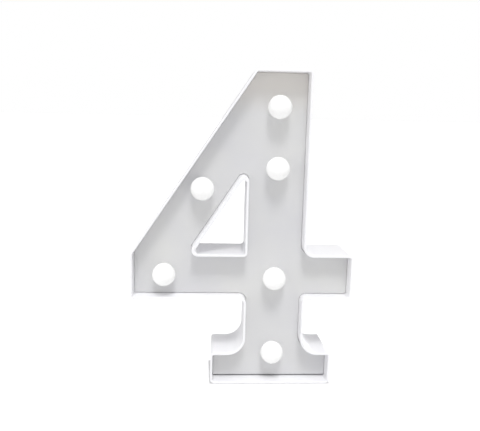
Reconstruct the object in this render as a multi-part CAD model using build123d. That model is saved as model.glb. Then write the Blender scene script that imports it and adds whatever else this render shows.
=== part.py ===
from build123d import *
import math
import os

# A light up marquee 4, seen from the front by a viewer who looks along +Y, with +X to the
# right and +Z up. X is zero in the middle of its width, Y in the middle of its depth, and
# Z on the surface that it stands on. All sizes are in millimetres.

# The figure's outline
height = 220.0
stem_width = 42.2
bar_reach_left = 78.8
bar_reach_right = 33.6
bar_bottom_z = 62.4
bar_height = 32.4
top_width = 37.5
foot_width = 85.6
foot_height = 23.2
foot_shift = 1.1
hole_width_share = 0.4636
hole_height_share = 0.4464
corner_radius = 3.0
hole_corner_radii = [2.6, 1.2, 1.9]
hole_slant_extra = 0.8
bar_top_fillet = 5.5
bar_bottom_fillet = 3.2
foot_fillet_share = 0.507

# The channel moulding
depth = 40.0
wall = 1.5
floor_thickness = 1.8
draft_angle = 1.45
rim_round = 0.45
back_round = 0.6

# The face panel that carries the bulbs
recess = 10.5
panel_thickness = 1.8
panel_clearance = 0.25
panel_round = 0.3
post_radius = 3.1
post_margin = 8.5

# The bulbs
bulb_radius = 8.03
bulb_stand = 6.4
bulb_shell = 1.0
neck_radius = 4.6
neck_wall = 0.9
neck_length = 5.7
neck_slot = 1.2
barb_height = 0.8
barb_length = 2.3
snap_clearance = 0.15
stem_bulb_shares = [0.8043, 0.4752]
stroke_bulb_rise_share = 0.3594
stroke_bulb_across_share = 0.4506
bar_bulb_rise_shares = [0.525, 0.449]
end_bulb_share = 0.2906
foot_bulb_share = 0.961

# The lights inside the bulbs
led_radius = 2.5
led_length = 7.7
led_flange_radius = 2.9
led_flange_thickness = 1.0
led_flat = 0.35
lead_side = 0.5
lead_length = 2.0
lead_spacing = 2.54
holder_clearance = 0.1
holder_flange = 0.8
holder_length = 5.6

# The screws that hold the face panel against the channel's floor
screw_radius = 1.45
screw_length = 10.0
screw_head_radius = 2.8
screw_head_height = 1.7
screw_clearance = 0.15
thread_clearance = 0.05
cross_width = 0.7
cross_length = 3.2
cross_depth = 0.9
boss_radius = 4.3
boss_height = 1.6
well_clearance = 0.25
head_sink = 0.3
middle_post_share = 0.5
stroke_post_rise_share = 0.0815
stroke_post_across_share = 0.7534

# Two AA cells, and the compartment that holds them
cell_radius = 7.25
cell_length = 50.5
cell_nub_radius = 2.75
cell_nub_height = 1.3
cell_round = 0.6
cell_gap = 0.5
cell_side_gap = 0.4
cell_floor_gap = 0.3
cell_door_gap = 0.4
compartment_bottom_z = 32.0
compartment_wall = 1.7
compartment_floor = 1.2

# The contacts at the two ends of the cells
plate_thickness = 0.5
plate_width = 11.5
plate_height = 11.0
plate_floor_gap = 0.2
bump_radius = 2.2
contact_gap = 0.05
tab_width = 3.0
tab_length = 3.5
slit_clearance = 0.2
spring_wire_radius = 0.3
spring_base_radius = 4.2
spring_tip_radius = 2.4
spring_room = 6.45
spring_turns = 4
quarters_per_turn = 4

# The battery door with its two hooks and its sprung catch
door_thickness = 1.8
door_clearance = 0.3
door_seat_gap = 0.3
door_ledge = 1.1
door_round = 0.35
door_top_cover = 1.8
hook_reach = 11.5
hook_width = 5.0
hook_thickness = 1.5
hook_length = 2.6
hook_root = 2.0
hook_gap = 0.3
hook_window_depth = 6.5
hook_window_clearance = 0.4
catch_width = 10.0
catch_thickness = 1.2
catch_depth = 5.7
catch_gap = 2.2
catch_pad = 2.5
catch_lean = 0.3
catch_nib = 0.3
catch_nib_height = 1.5
catch_nib_gap = 0.2
catch_pad_gap = 0.5
catch_pocket_clearance = 0.8
grip_grooves = 5
grip_groove_width = 0.8
grip_groove_pitch = 2.0
grip_groove_length = 14.0
grip_groove_depth = 0.4
grip_margin = 6.0

# The slide switch below the compartment
switch_z = 12.0
switch_pan_length = 23.0
switch_pan_width = 9.6
switch_pan_depth = 2.6
switch_pan_wall = 1.5
switch_pan_round = 1.0
switch_length = 13.0
switch_width = 7.4
switch_thickness = 5.5
switch_ear_length = 20.0
switch_ear_thickness = 0.6
switch_screw_pitch = 16.5
switch_screw_radius = 1.0
switch_screw_length = 4.5
switch_screw_head_radius = 1.9
switch_screw_head_height = 1.2
switch_cross_width = 0.45
switch_cross_length = 2.1
switch_cross_depth = 0.6
knob_length = 4.4
knob_width = 4.2
knob_travel = 4.0
knob_clearance = 0.3
knob_seat = 2.5
knob_sink = 0.4
knob_groove_depth = 0.3
terminal_width = 1.2
terminal_thickness = 0.5
terminal_length = 3.5
terminal_pitch = 3.0

# The two keyholes for hanging the figure on a wall
keyhole_radius = 4.0
keyhole_slot_width = 4.0
keyhole_rise = 7.0
keyhole_reach = 18.0
keyhole_height_share = 0.53

# The red and black wires that link the lights
wire_radius = 0.55
wire_depth = 8.7
wire_run = 12.0
wire_swing = 12.0
wire_bend_share = 0.9
wire_apex_clearance = 10.3
feed_lead_in = 3.1
feed_rise = 4.1
feed_drop = 2.8
feed_dip_z = 19.8
feed_front_gap = 5.0
feed_loop_z = 14.0

# One length that runs every cut past the surface that it opens
overrun = 2.0

# How near to a plane an edge has to be to count as lying in it
plane_margin = 0.005

# How far the outline is drawn below the base before the base is cut flat
base_drop = 2 * corner_radius

# Places worked out from the sizes above
width = bar_reach_left + stem_width + bar_reach_right
left_x = -width / 2
right_x = width / 2
stem_left_x = left_x + bar_reach_left
stem_right_x = stem_left_x + stem_width
stem_x = (stem_left_x + stem_right_x) / 2
foot_left_x = stem_x - foot_shift - foot_width / 2
foot_right_x = foot_left_x + foot_width
top_left_x = stem_right_x - top_width
bar_top_z = bar_bottom_z + bar_height
stem_above_bar = height - bar_top_z
hole_left_x = stem_left_x - hole_width_share * bar_reach_left
hole_top_z = bar_top_z + hole_height_share * stem_above_bar
foot_fillet = foot_fillet_share * (foot_width - stem_width) / 2
bulb_proud = bulb_stand + bulb_radius - recess
rim_y = (bulb_proud - depth) / 2
face_y = rim_y + recess
panel_back_y = face_y + panel_thickness
back_y = rim_y + depth
floor_y = back_y - floor_thickness
boss_y = floor_y - boss_height
wire_y = face_y + wire_depth
neck_bore = neck_radius - neck_wall
holder_back = neck_length + holder_clearance + holder_flange
seat_y = back_y - head_sink - screw_head_height


def box_between(low, high):
    """A block with two opposite corners given."""
    size = [b - a for a, b in zip(low, high)]
    middle = [(a + b) / 2 for a, b in zip(low, high)]
    return Pos(*middle) * Box(*size)


def rod_along_y(place, front, back, radius):
    """A round rod that runs front to back at a place in X and Z."""
    x, z = place
    return Pos(x, (front + back) / 2, z) * Rot(X=90) * Cylinder(radius, back - front)


def edges_at(shape, axis, place):
    """The edges of a shape that lie in one plane square to an axis."""
    return shape.edges().filter_by_position(axis, place - plane_margin, place + plane_margin)


def union(first, others):
    """One shape with all the others added to it."""
    for other in others:
        first = first + other
    return first


def cut_all(first, others):
    """One shape with all the others cut away from it."""
    for other in others:
        first = first - other
    return first


def write(name, shape):
    """Save one piece under its own name."""
    export_step(shape, f"parts/{name}.step")


# Outlines of the figure and of its triangular hole
def taper_at(y):
    """How far the tapered sides have closed in at a depth."""
    return (y - rim_y) * math.tan(math.radians(draft_angle))


def moved_line(start, end, step):
    """A line moved sideways to its left by a step, as two points."""
    run = end[0] - start[0]
    rise = end[1] - start[1]
    length = math.hypot(run, rise)
    side = (-rise * step / length, run * step / length)
    return (start[0] + side[0], start[1] + side[1]), (end[0] + side[0], end[1] + side[1])


def x_on_line(line, z):
    """Where a line reaches a height."""
    (x0, z0), (x1, z1) = line
    return x0 + (x1 - x0) * (z - z0) / (z1 - z0)


def z_on_line(line, x):
    """How high a line is at a place in X."""
    (x0, z0), (x1, z1) = line
    return z0 + (z1 - z0) * (x - x0) / (x1 - x0)


outer_diagonal = ((left_x, bar_top_z), (top_left_x, height))
hole_diagonal = ((hole_left_x, bar_top_z), (stem_left_x, hole_top_z))


def figure_corners(inset, base_inset):
    """The outline's corners with every side moved in, each with its radius."""
    left = left_x + inset
    right = right_x - inset
    stem_left = stem_left_x + inset
    stem_right = stem_right_x - inset
    bar_bottom = bar_bottom_z + inset
    bar_top = bar_top_z - inset
    foot_left = foot_left_x + inset
    foot_right = foot_right_x - inset
    foot_top = foot_height - inset
    top = height - inset
    diagonal = moved_line(*outer_diagonal, -inset)
    outward = max(corner_radius - inset, panel_round)
    return [
        (foot_left, base_inset, outward),
        (foot_right, base_inset, outward),
        (foot_right, foot_top, outward),
        (stem_right, foot_top, foot_fillet + inset),
        (stem_right, bar_bottom, bar_bottom_fillet + inset),
        (right, bar_bottom, outward),
        (right, bar_top, outward),
        (stem_right, bar_top, bar_top_fillet + inset),
        (stem_right, top, outward),
        (x_on_line(diagonal, top), top, outward),
        (left, z_on_line(diagonal, left), outward),
        (left, bar_bottom, outward),
        (stem_left, bar_bottom, bar_bottom_fillet + inset),
        (stem_left, foot_top, foot_fillet + inset),
        (foot_left, foot_top, outward),
    ]


def hole_corners(growth, slant_extra):
    """The hole's corners and radii with every side moved out, the slanting one further."""
    bottom = bar_top_z - growth
    side = stem_left_x + growth
    diagonal = moved_line(*hole_diagonal, growth + slant_extra)
    left_radius, right_radius, top_radius = [radius + growth for radius in hole_corner_radii]
    return [
        (x_on_line(diagonal, bottom), bottom, left_radius),
        (side, bottom, right_radius),
        (side, z_on_line(diagonal, side), top_radius),
    ]


def tapered_block(corners, length):
    """A rounded outline drawn out along its depth, closing in as it goes."""
    points = [(x, z) for x, z, radius in corners]
    radii = [radius for x, z, radius in corners]
    outline = make_face(FilletPolyline(*points, radius=radii, close=True))
    return extrude(outline, amount=length, taper=draft_angle)


def figure_block(front, back, step_in, base_z):
    """The figure's form, stepped in from its outside, tapered but flat at its base."""
    corners = figure_corners(taper_at(front) + step_in, -base_drop)
    mirrored = [(x, -z, radius) for x, z, radius in reversed(corners)]
    block = Pos(Y=front) * Rot(X=-90) * tapered_block(mirrored, back - front)
    block = block - box_between((left_x, front - overrun, -2 * base_drop),
                                (right_x, back + overrun, base_z))
    base_edges = [
        edge for edge in edges_at(block, Axis.Z, base_z)
        if abs(edge.tangent_at(0.5).Y) > abs(edge.tangent_at(0.5).X)
    ]
    return fillet(base_edges, max(corner_radius - step_in, panel_round))


def hole_block(front, back, step_out, slant_extra):
    """The hole's form, stepped out from its inside, which widens towards the back."""
    corners = hole_corners(taper_at(back) + step_out, slant_extra)
    return Pos(Y=back) * Rot(X=90) * tapered_block(corners, back - front)


# Places of the bulbs, of the screws and of the keyholes, each as X and Z
def stroke_place(rise_share, across_share):
    """A place in the slanting stroke, between its outer edge and the hole's."""
    z = bar_top_z + rise_share * (height - bar_top_z)
    outer_x = x_on_line(outer_diagonal, z)
    inner_x = x_on_line(hole_diagonal, z)
    return outer_x + across_share * (inner_x - outer_x), z


bulb_places = [
    (stem_x, bar_top_z + stem_bulb_shares[0] * stem_above_bar),
    (stem_x, bar_top_z + stem_bulb_shares[1] * stem_above_bar),
    stroke_place(stroke_bulb_rise_share, stroke_bulb_across_share),
    (left_x + end_bulb_share * bar_reach_left, bar_bottom_z + bar_bulb_rise_shares[0] * bar_height),
    (stem_x, bar_bottom_z + bar_bulb_rise_shares[1] * bar_height),
    (stem_x, foot_bulb_share * foot_height),
]
post_places = [
    (stem_x, height - post_margin),
    (stem_x, bulb_places[1][1] + middle_post_share * (bulb_places[0][1] - bulb_places[1][1])),
    stroke_place(stroke_post_rise_share, stroke_post_across_share),
    (left_x + post_margin, bar_bottom_z + post_margin),
    (right_x - post_margin, bar_bottom_z + post_margin),
    (foot_left_x + post_margin, foot_height / 2),
    (foot_right_x - post_margin, foot_height / 2),
]
keyhole_z = bar_bottom_z + keyhole_height_share * bar_height
keyhole_places = [(left_x + keyhole_reach, keyhole_z), (right_x - keyhole_reach, keyhole_z)]

# The compartment's inside, and the door's opening in the channel's floor
cell_pitch = 2 * cell_radius + cell_gap
cell_y = back_y - door_thickness - cell_door_gap - cell_radius
compartment_front_y = cell_y - cell_radius - cell_floor_gap
compartment_half = cell_pitch / 2 + cell_radius + cell_side_gap
spring_cell_z = compartment_bottom_z + spring_room
compartment_length = spring_room + cell_length + contact_gap + 2 * plate_thickness
compartment_top_z = compartment_bottom_z + compartment_length
door_half = compartment_half + door_ledge - door_clearance
door_bottom_z = compartment_bottom_z - door_ledge
door_top_z = compartment_top_z + compartment_wall + door_top_cover
door_under_y = back_y - door_thickness
pad_bottom_z = door_top_z + catch_gap
pad_top_z = pad_bottom_z + catch_pad
pocket_half = catch_width / 2 + catch_pocket_clearance
pocket_top_z = pad_top_z + catch_pad_gap + catch_pocket_clearance
pocket_front_y = door_under_y - catch_depth - catch_pocket_clearance

# The contacts' places
plate_front_y = compartment_front_y + plate_floor_gap
tab_end_z = compartment_bottom_z - compartment_wall - tab_length

# The switch's pan in the channel's floor
pan_floor_y = back_y - switch_pan_depth
pan_inner_y = pan_floor_y - switch_pan_wall
switch_front_y = pan_inner_y - switch_ear_thickness - switch_thickness
switch_screw_places = [
    (stem_x - switch_screw_pitch / 2, switch_z),
    (stem_x + switch_screw_pitch / 2, switch_z),
]
knob_front_y = pan_inner_y - knob_seat
knob_rest_x = stem_x - knob_travel / 2


def compartment_shell():
    """The box that the cells lie in, its pocket for the door's catch included."""
    low = (stem_x - compartment_half, compartment_front_y, compartment_bottom_z)
    high = (stem_x + compartment_half, floor_y, compartment_top_z)
    chamber = box_between(
        (low[0] - compartment_wall, low[1] - compartment_floor, low[2] - compartment_wall),
        (high[0] + compartment_wall, floor_y, high[2] + compartment_wall),
    )
    pocket = box_between(
        (stem_x - pocket_half - compartment_wall, pocket_front_y - compartment_floor, high[2]),
        (stem_x + pocket_half + compartment_wall, floor_y, pocket_top_z + compartment_wall),
    )
    return chamber + pocket


def compartment_cuts():
    """What is hollow in the compartment: chamber, pocket, door opening, slits and windows."""
    chamber = box_between(
        (stem_x - compartment_half, compartment_front_y, compartment_bottom_z),
        (stem_x + compartment_half, back_y + overrun, compartment_top_z),
    )
    pocket = box_between(
        (stem_x - pocket_half, pocket_front_y, compartment_top_z + compartment_wall),
        (stem_x + pocket_half, floor_y, pocket_top_z),
    )
    opening = box_between(
        (stem_x - door_half - door_clearance, door_under_y - door_seat_gap,
         door_bottom_z - door_clearance),
        (stem_x + door_half + door_clearance, back_y + overrun, door_top_z + door_clearance),
    )
    pad_opening = box_between(
        (stem_x - catch_width / 2 - door_clearance, pocket_front_y, door_top_z),
        (stem_x + catch_width / 2 + door_clearance, back_y + overrun, pad_top_z + catch_pad_gap),
    )
    cuts = [chamber, pocket, opening, pad_opening]
    window_half = hook_width / 2 + hook_window_clearance
    for side in (-1, 1):
        window_x = stem_x + side * hook_reach
        cuts.append(box_between(
            (window_x - window_half, floor_y - hook_window_depth,
             compartment_bottom_z - compartment_wall - overrun),
            (window_x + window_half, floor_y, compartment_bottom_z + overrun),
        ))
        tab_x = stem_x + side * cell_pitch / 2
        slit_half = tab_width / 2 + slit_clearance
        cuts.append(box_between(
            (tab_x - slit_half, plate_front_y - slit_clearance,
             compartment_bottom_z - compartment_wall - overrun),
            (tab_x + slit_half, plate_front_y + plate_thickness + slit_clearance,
             compartment_bottom_z + overrun),
        ))
    return cuts


def switch_pan_shell():
    """The raised pan inside the channel's floor that the switch is screwed to."""
    half_length = switch_pan_length / 2 + switch_pan_wall
    half_width = switch_pan_width / 2 + switch_pan_wall
    return box_between(
        (stem_x - half_length, pan_inner_y, switch_z - half_width),
        (stem_x + half_length, floor_y, switch_z + half_width),
    )


def switch_pan_cuts():
    """The pan's hollow, the knob's slot and the two screw holes."""
    pan = box_between(
        (stem_x - switch_pan_length / 2, pan_floor_y, switch_z - switch_pan_width / 2),
        (stem_x + switch_pan_length / 2, back_y + overrun, switch_z + switch_pan_width / 2),
    )
    pan = fillet(pan.edges().filter_by(Axis.Y), switch_pan_round)
    slot_half = (knob_length + knob_travel) / 2 + knob_clearance
    slot = box_between(
        (stem_x - slot_half, pan_inner_y - overrun, switch_z - knob_width / 2 - knob_clearance),
        (stem_x + slot_half, pan_floor_y + overrun, switch_z + knob_width / 2 + knob_clearance),
    )
    holes = [
        rod_along_y(place, pan_inner_y - overrun, pan_floor_y + overrun,
                    switch_screw_radius + screw_clearance)
        for place in switch_screw_places
    ]
    return [pan, slot] + holes


def keyhole_cut(place):
    """A round entry with a narrow slot above it, through the channel's floor."""
    x, z = place
    entry = rod_along_y(place, floor_y - overrun, back_y + overrun, keyhole_radius)
    end = rod_along_y((x, z + keyhole_rise), floor_y - overrun, back_y + overrun,
                      keyhole_slot_width / 2)
    slot = box_between(
        (x - keyhole_slot_width / 2, floor_y - overrun, z),
        (x + keyhole_slot_width / 2, back_y + overrun, z + keyhole_rise),
    )
    return entry + slot + end


def channel_body():
    """The deep white tray: outer walls, the hole's walls and the back floor in one."""
    outside = figure_block(rim_y, back_y, 0, 0)
    inside = figure_block(rim_y - overrun, floor_y, wall, wall)
    pillar = hole_block(rim_y - overrun, floor_y, wall, hole_slant_extra)
    hole = hole_block(rim_y - overrun, back_y + overrun, 0, 0)
    body = outside - (inside - pillar) - hole
    body = fillet(edges_at(body, Axis.Y, rim_y), rim_round)
    body = fillet(edges_at(body, Axis.Y, back_y), back_round)
    bosses = [rod_along_y(place, boss_y, floor_y, boss_radius) for place in post_places]
    body = union(body, bosses + [compartment_shell(), switch_pan_shell()])
    wells = [
        rod_along_y(place, seat_y, back_y + overrun, screw_head_radius + well_clearance)
        for place in post_places
    ]
    holes = [
        rod_along_y(place, boss_y - overrun, back_y + overrun, screw_radius + screw_clearance)
        for place in post_places
    ]
    keyholes = [keyhole_cut(place) for place in keyhole_places]
    return cut_all(body, compartment_cuts() + switch_pan_cuts() + wells + holes + keyholes)


def face_panel():
    """The flat face behind the rim, with the bulbs' holes and the screw posts."""
    step = wall + panel_clearance
    plate = figure_block(face_y, panel_back_y, step, step)
    plate = plate - hole_block(face_y - overrun, panel_back_y + overrun, step,
                               hole_slant_extra)
    plate = fillet(edges_at(plate, Axis.Y, face_y), panel_round)
    posts = [rod_along_y(place, panel_back_y, boss_y, post_radius) for place in post_places]
    plate = union(plate, posts)
    holes = [
        rod_along_y(place, face_y - overrun, panel_back_y + overrun,
                    neck_radius + 2 * snap_clearance)
        for place in bulb_places
    ]
    pilot_front = seat_y - screw_length - overrun
    pilots = [
        rod_along_y(place, pilot_front, boss_y + overrun, screw_radius + thread_clearance)
        for place in post_places
    ]
    return cut_all(plate, holes + pilots)


# Pieces turned about an axis that runs front to back, drawn as radius and depth
def turned(place, outline):
    """A solid turned from a closed half outline, its depth measured from the face."""
    x, z = place
    return Pos(x, face_y, z) * revolve(make_face(outline), Axis.Y)


def bulb_cap(place):
    """A hollow milky ball whose slotted neck snaps through the panel."""
    inner_radius = bulb_radius - bulb_shell
    outer_join = -bulb_stand + math.sqrt(bulb_radius ** 2 - neck_radius ** 2)
    inner_join = -bulb_stand + math.sqrt(inner_radius ** 2 - neck_bore ** 2)
    barb_start = panel_thickness + snap_clearance
    outline = [
        ThreePointArc((0, -bulb_stand - bulb_radius), (bulb_radius, -bulb_stand),
                      (neck_radius, outer_join)),
        Polyline(
            (neck_radius, outer_join),
            (neck_radius, barb_start),
            (neck_radius + barb_height, barb_start),
            (neck_radius, barb_start + barb_length),
            (neck_radius, neck_length),
            (neck_bore, neck_length),
            (neck_bore, inner_join),
        ),
        ThreePointArc((neck_bore, inner_join), (inner_radius, -bulb_stand),
                      (0, -bulb_stand - inner_radius)),
        Line((0, -bulb_stand - inner_radius), (0, -bulb_stand - bulb_radius)),
    ]
    cap = turned(place, outline)
    x, z = place
    reach = neck_radius + barb_height + overrun
    slot_start = face_y + panel_thickness / 2
    slot_end = face_y + neck_length + overrun
    across = box_between((x - reach, slot_start, z - neck_slot / 2),
                         (x + reach, slot_end, z + neck_slot / 2))
    upright = box_between((x - neck_slot / 2, slot_start, z - reach),
                          (x + neck_slot / 2, slot_end, z + reach))
    return cap - across - upright


def led_holder(place):
    """The bush that centres the light in the bulb's neck and closes it."""
    outer = neck_bore - holder_clearance
    bore = led_radius + holder_clearance
    front = holder_back - holder_length
    outline = Polyline(
        (bore, front),
        (outer, front),
        (outer, holder_back - holder_flange),
        (neck_radius, holder_back - holder_flange),
        (neck_radius, holder_back),
        (bore, holder_back),
        close=True,
    )
    return turned(place, outline)


def led_lens(place, heading):
    """The domed light with its flange, flattened on the side of its negative lead."""
    tip = holder_back - led_length
    flange_back = holder_back + led_flange_thickness
    shoulder_share = math.sqrt(0.5)
    outline = [
        ThreePointArc((0, tip), (led_radius * shoulder_share, tip + led_radius * (1 - shoulder_share)),
                      (led_radius, tip + led_radius)),
        Polyline(
            (led_radius, tip + led_radius),
            (led_radius, holder_back),
            (led_flange_radius, holder_back),
            (led_flange_radius, flange_back),
            (0, flange_back),
            (0, tip),
        ),
    ]
    lens = turned(place, outline)
    side = side_of(heading)
    reach = led_flange_radius - led_flat + led_radius
    angle = math.degrees(math.atan2(side[1], side[0]))
    flat = Box(2 * led_radius, 2 * led_flange_thickness, 4 * led_radius)
    x, z = place
    flat = Pos(x, face_y + flange_back, z) * Rot(Y=-angle) * Pos(X=-reach) * flat
    return lens - flat


def side_of(heading):
    """The direction to the left of a heading, both in X and Z."""
    return (-heading[1], heading[0])


def led_leads(place, heading):
    """The two wire legs of a light, side by side across the wires' heading."""
    side = side_of(heading)
    angle = math.degrees(math.atan2(side[1], side[0]))
    front = face_y + holder_back + led_flange_thickness
    x, z = place
    legs = []
    for sign in (-1, 1):
        leg = Pos(X=sign * lead_spacing / 2) * Box(lead_side, lead_length, lead_side)
        legs.append(Pos(x, front + lead_length / 2, z) * Rot(Y=-angle) * leg)
    return Compound(children=[leg.solid() for leg in legs])


def cross_recess(head_top, place, arm, half_width, sink):
    """The cross in a screw head, cut from the back."""
    x, z = place
    flat = box_between((x - arm, head_top - sink, z - half_width),
                       (x + arm, head_top + overrun, z + half_width))
    upright = box_between((x - half_width, head_top - sink, z - arm),
                          (x + half_width, head_top + overrun, z + arm))
    return flat + upright


def screw(place, seat, length, radius, head_radius, head_height):
    """A domed screw driven from the back, its thread as a plain rod with a point."""
    head_top = seat + head_height
    head_edge = seat + head_height / 2
    outline = [
        Polyline(
            (0, head_top),
            (0, seat - length),
            (radius / 3, seat - length),
            (radius, seat - length + radius),
            (radius, seat),
            (head_radius, seat),
            (head_radius, head_edge),
        ),
        TangentArc((0, head_top), (head_radius, head_edge), tangent=(1, 0)),
    ]
    x, z = place
    shape = Pos(x, 0, z) * revolve(make_face(outline), Axis.Y)
    return shape.solid()


def panel_screws():
    """The screws that clamp the panel's posts to the channel's floor."""
    screws = []
    for place in post_places:
        shape = screw(place, seat_y, screw_length, screw_radius, screw_head_radius,
                      screw_head_height)
        recess_shape = cross_recess(seat_y + screw_head_height, place, cross_length / 2,
                                    cross_width / 2, cross_depth)
        screws.append((shape - recess_shape).solid())
    return Compound(children=screws)


def switch_screws():
    """The two small screws of the switch, their heads in its pan."""
    screws = []
    for place in switch_screw_places:
        shape = screw(place, pan_floor_y, switch_screw_length, switch_screw_radius,
                      switch_screw_head_radius, switch_screw_head_height)
        recess_shape = cross_recess(pan_floor_y + switch_screw_head_height, place,
                                    switch_cross_length / 2, switch_cross_width / 2,
                                    switch_cross_depth)
        screws.append((shape - recess_shape).solid())
    return Compound(children=screws)


def battery_cell(side, nub_up):
    """One AA cell with its raised terminal at one end."""
    body_length = cell_length - cell_nub_height
    body = Pos(Z=body_length / 2) * Cylinder(cell_radius, body_length)
    body = fillet(body.edges().filter_by(GeomType.CIRCLE), cell_round)
    nub = Pos(Z=body_length + cell_nub_height / 2) * Cylinder(cell_nub_radius, cell_nub_height)
    cell = body + nub
    x = stem_x + side * cell_pitch / 2
    if nub_up:
        return Pos(x, cell_y, spring_cell_z) * cell
    return Pos(x, cell_y, compartment_top_z - spring_room) * Rot(X=180) * cell


def contact_plate(side, with_bump):
    """One end contact: a plate against the compartment's lower end, with a solder tab."""
    x = stem_x + side * cell_pitch / 2
    low_z = compartment_bottom_z
    plate = box_between(
        (x - plate_width / 2, plate_front_y, low_z),
        (x + plate_width / 2, plate_front_y + plate_height, low_z + plate_thickness),
    )
    tab = box_between(
        (x - tab_width / 2, plate_front_y, tab_end_z),
        (x + tab_width / 2, plate_front_y + plate_thickness, low_z + plate_thickness),
    )
    plate = plate + tab
    if with_bump:
        bump = Pos(x, cell_y, low_z + 1.5 * plate_thickness) * Cylinder(bump_radius, plate_thickness)
        plate = plate + bump
    return plate


def bridge_plate():
    """The contact across the upper ends that joins the two cells in series."""
    high_z = compartment_top_z
    reach = cell_pitch / 2 + plate_width / 2
    plate = box_between(
        (stem_x - reach, plate_front_y, high_z - plate_thickness),
        (stem_x + reach, plate_front_y + plate_height, high_z),
    )
    bump_x = stem_x - cell_pitch / 2
    bump = Pos(bump_x, cell_y, high_z - 1.5 * plate_thickness) * Cylinder(bump_radius, plate_thickness)
    return plate + bump


def coil_place(turn, rise):
    """A point on the tapering coil's centre line and its direction there."""
    share = turn / spring_turns
    angle = 2 * math.pi * turn
    radius = spring_base_radius + (spring_tip_radius - spring_base_radius) * share
    shrink = (spring_tip_radius - spring_base_radius) / (2 * math.pi * spring_turns)
    climb = rise / (2 * math.pi * spring_turns)
    point = Vector(radius * math.cos(angle), radius * math.sin(angle), rise * share)
    heading = Vector(
        shrink * math.cos(angle) - radius * math.sin(angle),
        shrink * math.sin(angle) + radius * math.cos(angle),
        climb,
    )
    return point, heading.normalized()


def paired_arcs(start, start_heading, end, end_heading):
    """Two arcs that join two points and keep the headings at both."""
    gap = end - start
    both = start_heading + end_heading
    spread = 2 * (1 - start_heading.dot(end_heading))
    along = gap.dot(both)
    reach = (math.sqrt(along ** 2 + spread * gap.dot(gap)) - along) / spread
    start_knee = start + start_heading * reach
    end_knee = end - end_heading * reach
    middle = (start_knee + end_knee) * 0.5
    middle_heading = (end_knee - start_knee).normalized()
    return [
        TangentArc(start, middle, tangent=start_heading),
        TangentArc(middle, end, tangent=middle_heading),
    ]


def contact_spring():
    """The tapering coil between a contact and a cell's flat end, standing on its base."""
    rise = spring_room - plate_thickness - 2 * spring_wire_radius - 2 * contact_gap
    steps = spring_turns * quarters_per_turn
    arcs = []
    for step in range(steps):
        start, start_heading = coil_place(step / quarters_per_turn, rise)
        end, end_heading = coil_place((step + 1) / quarters_per_turn, rise)
        arcs += paired_arcs(start, start_heading, end, end_heading)
    first, first_heading = coil_place(0, rise)
    section = Plane(origin=first, z_dir=first_heading) * Circle(spring_wire_radius)
    coil = sweep(section, path=Wire([arc.edge() for arc in arcs]))
    return Pos(Z=spring_wire_radius + contact_gap) * coil, least_coil_gap(rise)


def least_coil_gap(rise):
    """The smallest space between two turns of the coil, measured on points."""
    samples = 24
    points = [coil_place(step / samples, rise)[0] for step in range(spring_turns * samples + 1)]
    least = min(
        (points[a] - points[b]).length
        for a in range(len(points))
        for b in range(a + samples * 3 // 4, len(points))
    )
    return least - 2 * spring_wire_radius


def battery_door():
    """The door's plate with two hooks at its lower edge and a sprung catch at its upper."""
    plate = box_between(
        (stem_x - door_half, door_under_y, door_bottom_z),
        (stem_x + door_half, back_y, door_top_z),
    )
    plate = fillet(edges_at(plate, Axis.Y, back_y), door_round)
    hooks = []
    for side in (-1, 1):
        hook_x = stem_x + side * hook_reach
        front = door_under_y - hook_gap - hook_thickness
        tongue = box_between(
            (hook_x - hook_width / 2, front, door_bottom_z - hook_length),
            (hook_x + hook_width / 2, door_under_y - hook_gap, door_bottom_z + hook_root),
        )
        root = box_between(
            (hook_x - hook_width / 2, front, door_bottom_z + hook_root / 3),
            (hook_x + hook_width / 2, door_under_y, door_bottom_z + hook_root),
        )
        hooks += [tongue, root]
    grooves = []
    for count in range(grip_grooves):
        groove_z = door_top_z - grip_margin - count * grip_groove_pitch
        grooves.append(box_between(
            (stem_x - grip_groove_length / 2, back_y - grip_groove_depth,
             groove_z - grip_groove_width / 2),
            (stem_x + grip_groove_length / 2, back_y + overrun,
             groove_z + grip_groove_width / 2),
        ))
    return cut_all(union(plate, hooks + [door_catch()]), grooves)


def door_catch():
    """The sprung catch: a strip that dips into the pocket and comes up as a finger pad."""
    inner_z = door_top_z - catch_thickness
    dip_y = door_under_y - catch_depth
    outer_z = pad_top_z - catch_thickness
    strip = Polyline(
        (inner_z, door_under_y),
        (inner_z, dip_y),
        (pad_top_z - catch_lean, dip_y),
        (pad_top_z, door_under_y),
        (pad_top_z, back_y),
        (pad_bottom_z, back_y),
        (pad_bottom_z, door_under_y),
        (outer_z, door_under_y),
        (outer_z - catch_lean, dip_y + catch_thickness),
        (door_top_z, dip_y + catch_thickness),
        (door_top_z, door_under_y),
        close=True,
    )
    nib_top = door_under_y - catch_nib_gap
    nib = Polyline(
        (outer_z, nib_top),
        (outer_z, nib_top - catch_nib_height),
        (pad_top_z, nib_top - catch_nib_height),
        (pad_top_z + catch_nib, nib_top),
        close=True,
    )
    shape = extrude(make_face(strip) + make_face(nib), amount=catch_width / 2, both=True)
    bends = shape.edges().filter_by(Axis.Z).filter_by_position(
        Axis.Y, dip_y - catch_thickness / 2, dip_y + catch_thickness / 2)
    shape = fillet(bends, catch_thickness / 2)
    return Pos(X=stem_x) * Rot(Y=-90) * shape


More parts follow.
